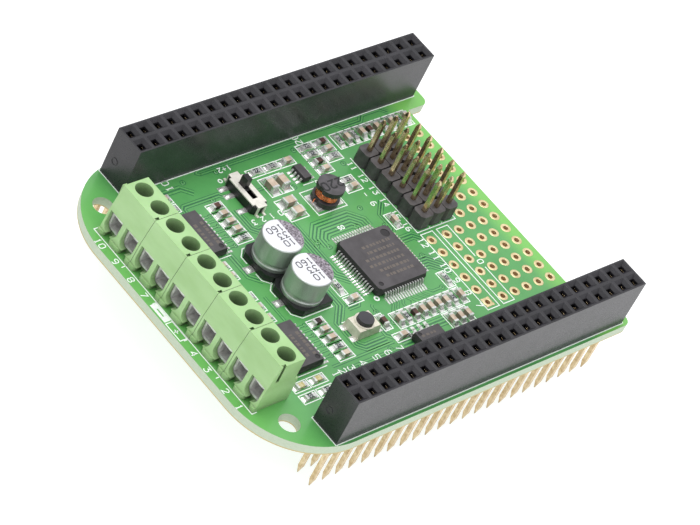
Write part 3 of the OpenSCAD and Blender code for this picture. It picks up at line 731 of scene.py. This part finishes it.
def loose_vias():
    for x, y in ((1.2, 13.55), (2.3, 19.4), (8.2, 14.5), (6.1, 2.4), (-6.9, -10.2), (-5.7, -12.7),
                 (-0.1, -11.0), (-16.5, 15.95), (-12.4, 20.2), (-18.7, 20.3), (4.6, 6.5), (7.6, -4.4),
                 (-2.6, 13.5), (-13.0, 6.3),
                 (-9.6, -16.4), (-11.6, -17.6), (-29.3, 14.5), (-29.4, -6.0), (-23.0, -20.6), (-28.9, 12.2),
                 (1.5, 3.9), (2.7, 12.9), (-7.0, 9.2), (-16.0, -17.0), (-28.9, 3.1), (-28.9, -1.9)):
        via(x, y)


def bottom_traces():
    """Underside: long runs from the socket pins, with vias where they change sides."""
    for s in (-1, 1):
        for i in range(9):
            x = -26.67 + PITCH * 2.5 * i
            inner = s * (21.4 - 1.2 * (i % 3))
            bend, reach = (1.4, 3.4 + i % 3) if i < 8 else (0, 0)
            trace([(x, s * 22.4), (x, inner), (x + bend, inner - s * 1.4), (x + reach, inner - s * 1.5)],
                  0.26, 0.16, -1)
            via(x + reach, inner - s * 1.5, -1)
    for i in range(7):
        y = 5.5 - 1.05 * i
        trace([(-29.5, y * 2.2), (-24.0 + i, y * 2.2), (-18.0 + i, y), (-6.0 - 0.5 * i, y), (-4.0, y * 0.6)],
              0.3, 0.18, -1)
        via(-4.0, y * 0.6, -1)


controller_loops()
controller_fan()
power_traces()
loose_vias()
bottom_traces()
gaps.piece("trace_gaps", gap_material())
traces.piece("trace_copper", M_TRACE)
vias.piece("via_rings", M_TRACE, smooth=40)


# ---- Printing: outlines, ticks and generic numbers ----

SILK_W = 0.15

# Pen strokes of the printed signs, on a grid 4 wide and 6 high
STROKES = {
    "0": [[(0, 1), (0, 5), (1, 6), (3, 6), (4, 5), (4, 1), (3, 0), (1, 0), (0, 1)]],
    "1": [[(1, 5), (2, 6), (2, 0)], [(1, 0), (3, 0)]],
    "2": [[(0, 5), (1, 6), (3, 6), (4, 5), (4, 4), (0, 0), (4, 0)]],
    "3": [[(0, 6), (4, 6), (2, 4), (4, 3), (4, 1), (3, 0), (1, 0), (0, 1)]],
    "4": [[(3, 0), (3, 6), (0, 2), (4, 2)]],
    "5": [[(4, 6), (0, 6), (0, 3), (3, 3), (4, 2), (4, 1), (3, 0), (0, 0)]],
    "6": [[(3, 6), (1, 6), (0, 4), (0, 1), (1, 0), (3, 0), (4, 1), (4, 2), (3, 3), (0, 3)]],
    "7": [[(0, 6), (4, 6), (1, 0)]],
    "8": [[(1, 3), (0, 4), (0, 5), (1, 6), (3, 6), (4, 5), (4, 4), (3, 3), (4, 2), (4, 1), (3, 0), (1, 0),
           (0, 1), (0, 2), (1, 3), (3, 3)]],
    "9": [[(1, 0), (3, 0), (4, 2), (4, 5), (3, 6), (1, 6), (0, 5), (0, 4), (1, 3), (4, 3)]],
    "+": [[(0, 3), (4, 3)], [(2, 1), (2, 5)]],
    "-": [[(0, 3), (4, 3)]],
    " ": [],
}


def write(shape, text, x, y, height, turn, low, high, width=SILK_W):
    """Prints signs centred at x, y, reading along the direction turn, in degrees."""
    unit = height / 6
    length = (len(text) * 6 - 2) * unit
    c, s = math.cos(math.radians(turn)), math.sin(math.radians(turn))
    for k, sign in enumerate(text):
        for stroke in STROKES[sign]:
            line = []
            for px, py in stroke:
                u = (px + 6 * k) * unit - length / 2
                v = (py - 3) * unit
                line.append((x + u * c - v * s, y + u * s + v * c))
            shape.ribbon(line, width, low, high)


def label(text, x, y, height=1.15, turn=0):
    px, py = at(x, y)
    write(silk, text, px, py, height, turn, TOP, TOP + SILK_T)


def silk_strip(points, closed=False, width=SILK_W):
    """Printed line through places in the row frame."""
    silk.ribbon(points, width, TOP, TOP + SILK_T, closed)


def silk_line(points, closed=False, width=SILK_W):
    """Printed line through places from the middle of the two sockets."""
    silk_strip([at(x, y) for x, y in points], closed, width)


def silk_ring(x, y, inner, outer, sides):
    top = TOP + SILK_T
    silk.lathe(x, y, [(inner, TOP), (outer, TOP), (outer, top), (inner, top)], sides)


def silk_frame(x0, y0, x1, y1):
    silk_line(outline(x0, y0, x1, y1), closed=True)


CHIP_NODES = ("chip_resistors", "chip_capacitors", "chip_beads", "status_leds")
CHIP_BODIES = [box for node in CHIP_NODES for box in islands(node)]


def chip_boxes():
    """A printed frame around each chip part, one cell wide."""
    for box in CHIP_BODIES:
        size = box[1] - box[0]
        mid = centre(box)
        along_x = size.x > size.y
        wide = min(size.x, size.y) > 1
        half_l = (3.5 if wide else 2.96) / 2
        half_w = (2.1 if wide else 1.55) / 2
        hx, hy = (half_l, half_w) if along_x else (half_w, half_l)
        silk_strip(outline(mid.x - hx, mid.y - hy, mid.x + hx, mid.y + hy), closed=True)


def socket_lines():
    """A printed frame just outside each socket."""
    for box, side in ((front_box, -1), (rear_box, 1)):
        inner = side * (min(abs(box[0].y), abs(box[1].y)) - 0.12)
        outer = side * (max(abs(box[0].y), abs(box[1].y)) + 0.12)
        for y in (inner, outer):
            silk_strip([(box[0].x, y), (box[1].x, y)])
        for x in (box[0].x - 0.12, box[1].x + 0.12):
            silk_strip([(x, inner), (x, outer)])


def terminal_lines():
    low, high = node_box("terminal_housings")
    step = (high.y - low.y) / 10
    x = low.x - 0.12 - MID_X
    silk_line([(x + 0.9, low.y - 0.15), (x, low.y - 0.15), (x, high.y), (x + 0.9, high.y)])
    for k in (-3, -1, 1, 3):
        silk_line([(x, k * step), (x - 0.75, k * step)])
    for k, signs in ((4, "10  9"), (2, "8  7"), (-2, "4  3"), (-4, "2  1")):
        label(signs, x - 0.9, k * step - 0.3, 1.0, 270)
    # Supply signs: a filled patch for minus and a frame for plus
    for near, far, y, wide in ((0.12, 1.28, 0.86, 0.26), (0.12, 1.28, 0.18, 0.26),
                               (0.12, 0.58, 0.52, 0.44), (0.82, 1.28, 0.52, 0.44)):
        silk_line([(x - near, step * y), (x - far, step * y)], width=step * wide)
    silk_frame(x - 1.3, -step * 0.95, x - 0.1, -0.1)
    label("+", x - 0.72, -step * 0.5, 1.1, 90)


def header_lines():
    low, high = node_box("servo_header_housing")
    x0, x1 = low.x - MID_X - 0.15, high.x - MID_X + 0.15
    silk_line([(x0, high.y + 0.15), (x0, low.y - 0.3), (x1, low.y - 0.3), (x1, high.y + 0.15)])
    for i in range(1, 3):
        x = x0 + 0.15 + i * PITCH
        silk_line([(x, low.y - 0.3), (x, low.y - 0.02)])
    for j in range(1, 6):
        y = low.y + j * PITCH
        silk_line([(x0, y), (x0 + 0.12, y)])
    for j in range(6):
        label(f"{16 - j}", x0 - 0.85, low.y + (j + 0.5) * PITCH, 0.9, 270)
    # Two framed columns of plated holes below the header
    base, top = -16.55, -1.25
    silk_frame(10.15, base, 12.55, top)
    silk_line([(15.72, -7.7), (15.72, top), (13.4, top), (13.4, base), (15.72, base), (15.72, -9.9)])
    label("0", 15.75, -8.8, 1.0, 270)
    for j in range(6):
        label(str(12 - j), 9.45, -2.6 - j * PITCH, 1.0, 270)


def package_lines():
    # Motor drivers
    for low, high in islands("motor_driver_packages"):
        silk_strip([(low.x + 0.3, high.y + 0.25), (high.x - 0.3, high.y + 0.25)])
        silk_strip([(low.x + 0.3, low.y - 0.25), (high.x + 0.9, low.y - 0.25)])
    # Capacitor bases, following their cut corners
    for low, high in islands("capacitor_bases"):
        cut = 1.2
        g = 0.22
        line = [(high.x + g, high.y + g - 2.6), (high.x + g, high.y + g), (low.x + cut - g, high.y + g),
                (low.x - g, high.y - cut + g), (low.x - g, centre((low, high)).y + 1.0)]
        silk_strip(line)
        silk_strip([(x, low.y + high.y - y) for x, y in line])
    # Inductor
    mid = centre(node_box("inductor_core"))
    silk_strip(outline(mid.x - 2.85, mid.y - 2.15, mid.x + 2.85, mid.y + 2.4), closed=True)
    # Regulator and memory pin marks
    mid = centre(node_box("regulator_package"))
    silk_strip([(mid.x - 0.9, mid.y - 1.75), (mid.x + 1.2, mid.y - 1.75)])
    silk_ring(mid.x + 1.6, mid.y - 1.9, 0.12, 0.28, 16)
    # First-pin ring of the controller
    low, high = node_box("controller_leads")
    silk_ring(low.x + 1.0, low.y + 1.0, 0.22, 0.47, 28)
    # Switch and button corner marks
    low, high = node_box("switch_case")
    silk_ring(low.x - 0.1, high.y + 0.55, 0.22, 0.4, 20)
    low, high = node_box("button_cover")
    silk_strip([(low.x + 0.1, high.y + 0.25), (low.x + 1.4, high.y + 0.25)])


def number_labels():
    label("10", -21.4, 20.6, 1.1, 90)
    label("20", 4.2, 20.9, 1.1, 90)
    label("1+2", -10.8, 20.2, 0.85, 180)
    label("0 1 2 3", -10.7, 10.2, 0.85, 180)
    label("1 - 6", 7.3, 8.3, 0.95, 270)
    for k, x in enumerate((-20.6, -19.3, -17.7, -15.4, -12.7, -10.4, -8.2)):
        label(str(k + 1), x, -16.8, 1.1, 270)
    label("50", -1.0, 4.5, 0.6, 0)


chip_boxes()
socket_lines()
terminal_lines()
header_lines()
package_lines()
number_labels()
silk.piece("silk_printing", M_SILK)


# ---- Pads and solder ----

pads = Shape()
solder = Shape()
plating = Shape()


def plated_hole(x, y, hole_r, outer, square=False):
    """Tinned ring on both faces, joined by the barrel through the hole."""
    inner = hole_r - 0.04
    rise = 0.045
    barrel = hole_r - 0.005
    profile = [(inner, TOP + rise * 0.5), (inner + 0.06, TOP + rise), (outer - 0.08, TOP + rise),
               (outer, TOP), (barrel, TOP), (barrel, 0), (outer, 0), (outer - 0.08, -rise),
               (inner + 0.06, -rise), (inner, -rise * 0.5)]
    plating.lathe(x, y, profile, 28)
    if square:
        far, near = outer * 0.98, outer * 0.98 * 0.45
        for face in (TOP, -0.03):
            for dx, dy in ((-1, -1), (-1, 1), (1, -1), (1, 1)):
                x0, x1 = sorted((x + dx * far, x + dx * near))
                y0, y1 = sorted((y + dy * far, y + dy * near))
                plating.box(x0, y0, x1, y1, face, face + 0.03)


def prototype_pads():
    """The grid of free plated holes at the board's far end."""
    rows = [-2.62 - PITCH * j for j in range(6)]
    places = [(x, y) for x in (14.4, 16.94, 19.48, 22.02, 24.56, 11.2) for y in rows]
    places += [(x, -0.08) for x in (19.48, 22.02, 24.56)]
    places += [(x, -0.08 + PITCH * j) for x in (22.02, 24.56) for j in range(1, 7)]
    for x, y in places:
        plated_hole(*at(x, y), 0.45, 0.83, square=(x < 12 and y < -15))


def pin_joint(x, y, pin_r, outer, depth):
    """Concave solder cone around a pin below the board, on its pad."""
    steps = 6
    profile = [(outer + 0.12, 0.0), (outer + 0.12, -0.03), (outer, -0.04)]
    for k in range(steps + 1):
        t = k / steps
        profile.append((pin_r + (outer - pin_r) * (1 - t) ** 2.2, -0.05 - depth * t))
    profile += [(pin_r * 0.6, -0.05 - depth), (pin_r * 0.6, 0.0)]
    solder.lathe(x, y, profile, 20)


def through_joints():
    for node in ("front_socket_contacts", "rear_socket_contacts", "servo_header_pins"):
        for box in islands(node):
            mid = centre(box)
            pin_joint(mid.x, mid.y, 0.4, 0.78, 0.75)
    for box in islands("terminal_contacts"):
        pin_joint(box[1].x - 0.25, centre(box).y, 0.5, 1.05, 0.9)


def outward(x, y, dx, dy):
    """Turns distances (along, across) from x, y into places; dx, dy points outwards."""
    def spot(along, across):
        return (x + dx * along - dy * across, y + dy * along + dx * across)
    return spot


def pad_and_slope(spot, back, front, half, slope):
    """Pad between two distances, with solder falling over it in (distance, half width, z) steps."""
    corners = ((back, -half), (front, -half), (front, half), (back, half))
    pads.prism([spot(*corner) for corner in corners], TOP, TOP + PAD_T)
    sections = []
    for along, reach, z in slope:
        a, b = spot(along, -reach), spot(along, reach)
        sections.append([(*a, TOP), (*b, TOP), (*b, z), (*a, z)])
    solder.loft(sections)


def lead_joint(x, y, dx, dy, length, width, rise):
    """Pad under a lead, with a low solder slope at the toe."""
    half = width / 2
    steps = ((0.02, rise), (0.12, rise * 0.6), (length * 0.2, rise * 0.25), (length * 0.4, 0.02))
    slope = [(along, half * 0.82, TOP + PAD_T + z) for along, z in steps]
    pad_and_slope(outward(x, y, dx, dy), -length * 0.55, length * 0.45, half, slope)


def gull_joints(node, package, length, width, rise):
    """A joint under every lead of a chip."""
    packages = islands(package)
    for box in islands(node):
        mid = centre(box)
        home = min(packages, key=lambda p: (centre(p) - mid).length)
        away = mid - centre(home)
        size = box[1] - box[0]
        if size.x > size.y:
            sign = 1 if away.x > 0 else -1
            tip = box[1].x if sign > 0 else box[0].x
            lead_joint(tip, mid.y, sign, 0, length, width, rise)
        else:
            sign = 1 if away.y > 0 else -1
            tip = box[1].y if sign > 0 else box[0].y
            lead_joint(mid.x, tip, 0, sign, length, width, rise)


def chip_joints():
    """Pad and hollow solder slope at both ends of every chip part."""
    for box in islands("chip_ends"):
        size = box[1] - box[0]
        mid = centre(box)
        along_x = size.x < size.y
        home = min(CHIP_BODIES, key=lambda b: (centre(b) - mid).length)
        away = mid - centre(home)
        dx, dy = (1 if away.x > 0 else -1, 0) if along_x else (0, 1 if away.y > 0 else -1)
        width = max(size.x, size.y) * 0.98
        run = 0.52 if width < 1 else 0.62
        slope = []
        for t in (0, 0.2, 0.4, 0.6, 0.8, 1):
            z = TOP + PAD_T + 0.7 * (size.z - PAD_T) * (1 - t) ** 2 + 0.01
            slope.append((run * t + 0.001, width / 2 * (0.94 + 0.06 * t), z))
        spot = outward(mid.x + dx * size.x / 2, mid.y + dy * size.y / 2, dx, dy)
        pad_and_slope(spot, -0.55, run + 0.06, width / 2 + 0.08, slope)


def flat_joints(node, grow, rise):
    """Pads and low solder over flat leads, such as those of the capacitors and the switch."""
    for low, high in islands(node):
        pads.box(low.x - grow, low.y - grow, high.x + grow, high.y + grow, TOP, TOP + PAD_T)
        solder.mound(low.x - grow * 0.9, low.y - grow * 0.7, high.x + grow * 0.9, high.y + grow * 0.7,
                     TOP + PAD_T, high.z - TOP + rise)


def can_joints():
    """Solder on the part of each capacitor lead that shows past the base."""
    for base_low, base_high in islands("capacitor_bases"):
        y = (base_low.y + base_high.y) / 2
        for edge, sign in ((base_low.x, -1), (base_high.x, 1)):
            x0, x1 = sorted((edge + sign * 0.02, edge + sign * 1.5))
            pads.box(x0, y - 0.62, x1, y + 0.62, TOP, TOP + PAD_T)
            x0, x1 = sorted((edge + sign * 0.04, edge + sign * 1.25))
            solder.mound(x0, y - 0.5, x1, y + 0.5, TOP + PAD_T, 0.22)


prototype_pads()
through_joints()
for node, package, length, width, rise in (
        ("controller_leads", "controller_package", 1.35, 0.3, 0.12),
        ("motor_driver_leads", "motor_driver_packages", 1.3, 0.36, 0.14),
        ("regulator_leads", "regulator_package", 0.95, 0.42, 0.12),
        ("memory_leads", "memory_package", 1.5, 0.62, 0.2)):
    gull_joints(node, package, length, width, rise)
chip_joints()
flat_joints("switch_leads", 0.2, 0.08)
flat_joints("button_leads", 0.22, 0.06)
can_joints()
for low, high in islands("inductor_terminals"):
    pads.box(low.x - 0.4, low.y - 0.35, high.x + 0.4, high.y + 0.35, TOP, TOP + PAD_T)
plating.piece("plated_holes", plated_material(), smooth=40)
pads.piece("solder_pads", M_SOLDER)
solder.piece("solder_joints", M_SOLDER, smooth=50)


# ---- Marks on the parts ----

INK_T = 0.012


def dash_rows(x0, y0, z, rows, length, pitch, turn, seed):
    """Rows of short strokes, in place of a maker's printing, from x0, y0 along the direction turn."""
    dice = random.Random(seed)
    c, s = math.cos(math.radians(turn)), math.sin(math.radians(turn))
    for row in range(rows):
        u = 0.0
        span = length * dice.uniform(0.7, 1.0)
        while u < span:
            bar = dice.choice((0.28, 0.42, 0.55))
            v = -row * pitch
            ends = [(x0 + u * c - v * s, y0 + u * s + v * c),
                    (x0 + (u + bar) * c - v * s, y0 + (u + bar) * s + v * c)]
            marks.ribbon(ends, pitch * 0.42, z, z + INK_T)
            u += bar + dice.choice((0.16, 0.3))


def mark_material():
    f = Finish("laser_mark")
    grain = f.noise(12, 4)
    f.set(Base_Color=f.mix(f.ramp(grain, 0.35, 0.65), linear(92, 86, 82), linear(112, 102, 94)))
    f.rough(grain, 0.5, 0.7)
    return f.relief(grain, 0.004).material


marks = Shape()
low, high = node_box("controller_package")
dash_rows(high.x - 1.6, low.y + 2.0, high.z, rows=6, length=7.2, pitch=1.1, turn=180, seed=3)
for k, (low, high) in enumerate(islands("motor_driver_packages")):
    x = centre((low, high)).x + 0.7
    dash_rows(x, low.y + 1.3, high.z, rows=2, length=5.0, pitch=1.3, turn=90, seed=11 + k)
low, high = node_box("memory_package")
dash_rows(low.x + 0.7, high.y - 1.1, high.z, rows=2, length=3.2, pitch=0.9, turn=0, seed=21)
marks.piece("package_marks", mark_material())

ink = Shape()
for low, high in islands("capacitor_cans"):
    mid = centre((low, high))
    for k, text in enumerate(("10", "33", "160")):
        right = mid.x + 0.95 - 0.47 * len(text)
        write(ink, text, right, mid.y + 1.4 * (k - 1), 1.0, 180, high.z, high.z + INK_T, 0.16)
can_ink = plastic("can_ink", linear(58, 56, 64), linear(84, 82, 90), 9, 0.5, 0.0, 0.002)
ink.piece("can_numbers", can_ink)

chip_marks = Shape()
for k, (low, high) in enumerate(islands("chip_resistors")):
    mid = centre((low, high))
    turn = 0 if high.x - low.x > high.y - low.y else 90
    number = ("103", "472", "220")[k % 3]
    write(chip_marks, number, mid.x, mid.y, 0.38, turn, high.z, high.z + 0.01, 0.045)
chip_marks.piece("resistor_numbers", M_SILK)

core_marks = Shape()
low, high = node_box("inductor_core")
mid = centre((low, high))
write(core_marks, "220", mid.x + 0.1, mid.y, 1.4, 180, high.z, high.z + INK_T, 0.28)
core_marks.piece("inductor_numbers", M_BLACK)


# ---- Winding of the inductor ----

def helix_winding():
    """Three plies of loose turns on the inductor's core, in place of the plain winding."""
    low, high = node_box("inductor_winding")
    mid = centre((low, high))
    wire_r = 0.12
    outer = (high.x - low.x) / 2 - wire_r
    turns = 6
    steps = 20
    shape = Shape()
    for ply in range(3):
        radius = outer - ply * 1.75 * wire_r
        points = []
        for i in range(turns * steps + 1):
            a = 2 * math.pi * i / steps + ply
            t = i / (turns * steps)
            z = low.z + wire_r + (high.z - low.z - 2 * wire_r) * (t if ply % 2 == 0 else 1 - t)
            r = radius + (0.07 * math.sin(3.1 * a + ply) if ply == 0 else 0)
            points.append(Vector((mid.x + r * math.cos(a), mid.y + r * math.sin(a), z)))
        if ply == 0:
            # The free end runs down to its terminal
            points.append(Vector((mid.x - 1.9, mid.y + 0.35, low.z - 0.5)))
            points.append(Vector((mid.x - 2.15, mid.y + 0.2, low.z - 1.0)))
        tube(shape, points, wire_r, 8)
    obj = shape.piece("inductor_wire", M_WIRE, smooth=60)
    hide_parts("inductor_winding")


def tube(shape, points, radius, sides):
    """Round wire through a line of points."""
    sections = []
    for i, p in enumerate(points):
        ahead = points[min(i + 1, len(points) - 1)] - points[max(i - 1, 0)]
        side = ahead.cross(Vector((0, 0, 1)))
        side = side.normalized() if side.length > 1e-6 else Vector((1, 0, 0))
        up = side.cross(ahead).normalized()
        sections.append([tuple(p + (side * math.cos(a) + up * math.sin(a)) * radius) for a in angles(sides)])
    shape.loft(sections)


helix_winding()


# ---- Mould marks on the sockets ----

mould = Shape()
for low, high in (front_box, rear_box):
    y, z = (low.y + high.y) / 2 + 0.9, low.z + 3.4
    for x, sign in ((low.x, -1), (high.x, 1)):
        sections = []
        for reach, r in ((-0.02, 0.62), (0.07, 0.6), (0.07, 0.5), (-0.02, 0.48)):
            sections.append([(x + sign * reach, y + r * math.cos(a), z + r * math.sin(a))
                             for a in angles(24)])
        mould.loft(sections, closed=True)
mould.piece("socket_mould_marks", M_SOCKET)


# ---- Stage, light and camera ----

# A light table: the floor adds this much light of its own, which keeps the shadow faint
FLOOR_GLOW = 0.8


def stage():
    """A pale floor just below the pins."""
    half = 3.0
    mesh = bpy.data.meshes.new("floor")
    z = cad_box[0][2] - 0.0002
    corners = outline(MID_X * MM - half, -half, MID_X * MM + half, half)
    mesh.from_pydata([(x, y, z) for x, y in corners], [], [(0, 1, 2, 3)])
    floor = bpy.data.objects.new("floor", mesh)
    bpy.context.scene.collection.objects.link(floor)
    f = Finish("floor_paper")
    cloud = f.noise(0.01, 2)
    paper = f.tones(cloud, (0.4, 0.4, 0.4, 1), (0.43, 0.43, 0.43, 1))
    f.set(Base_Color=paper, Roughness=0.9)
    f.set(Emission_Color=(1, 1, 1, 1), Emission_Strength=FLOOR_GLOW)
    floor.data.materials.append(f.material)


def area_light(name, place, target, size, power):
    """Soft round lamp, in metres and watts."""
    data = bpy.data.lights.new(name, "AREA")
    data.shape = "DISK"
    data.size = size
    data.energy = power
    obj = bpy.data.objects.new(name, data)
    bpy.context.scene.collection.objects.link(obj)
    obj.location = place
    obj.rotation_euler = (Vector(target) - Vector(place)).to_track_quat("-Z", "Y").to_euler()


def lights():
    """White tent: an even pale surround, brighter overhead, with one soft lamp above."""
    world = bpy.data.worlds.new("studio")
    bpy.context.scene.world = world
    world.use_nodes = True
    tree = world.node_tree
    background = tree.nodes["Background"]
    coords = tree.nodes.new("ShaderNodeTexCoord")
    split = tree.nodes.new("ShaderNodeSeparateXYZ")
    lift = tree.nodes.new("ShaderNodeMapRange")
    tree.links.new(coords.outputs["Generated"], split.inputs[0])
    tree.links.new(split.outputs["Z"], lift.inputs["Value"])
    for name, end in {"From Min": -0.1, "From Max": 0.8, "To Min": 0.55, "To Max": 1.0}.items():
        lift.inputs[name].default_value = end
    tree.links.new(lift.outputs["Result"], background.inputs["Strength"])
    background.inputs["Color"].default_value = (0.97, 0.985, 1.0, 1)
    target = (MID_X * MM, 0, 0.005)
    area_light("key", (0.06, 0.1, 0.8), target, 0.5, 3.2)
    area_light("fill", (-0.2, -0.7, 0.35), target, 0.5, 0.8)


def camera():
    """Long lens from the front left, rolled so that the board's length runs up to the right."""
    azimuth, elevation, roll = math.radians(-60.59), math.radians(40.59), math.radians(-28.28)
    distance = 0.48478
    aim = Vector((MID_X - 8.37, -3.60, TOP + 4.0)) * MM
    back = Vector((math.sin(azimuth) * math.cos(elevation),
                   -math.cos(azimuth) * math.cos(elevation),
                   math.sin(elevation)))
    right = Vector((0, 0, 1)).cross(back).normalized()
    up = back.cross(right)
    rolled_up = up * math.cos(roll) + right * math.sin(roll)
    rolled_right = rolled_up.cross(back)
    data = bpy.data.cameras.new("camera")
    data.lens = 180.0
    data.sensor_width = 36.0
    data.clip_start = 0.01
    obj = bpy.data.objects.new("camera", data)
    bpy.context.scene.collection.objects.link(obj)
    turn = Matrix((rolled_right, rolled_up, back)).transposed().to_4x4()
    obj.matrix_world = Matrix.Translation(aim + back * distance) @ turn
    bpy.context.scene.camera = obj


bpy.context.scene.view_settings.view_transform = "Standard"
stage()
lights()
camera()
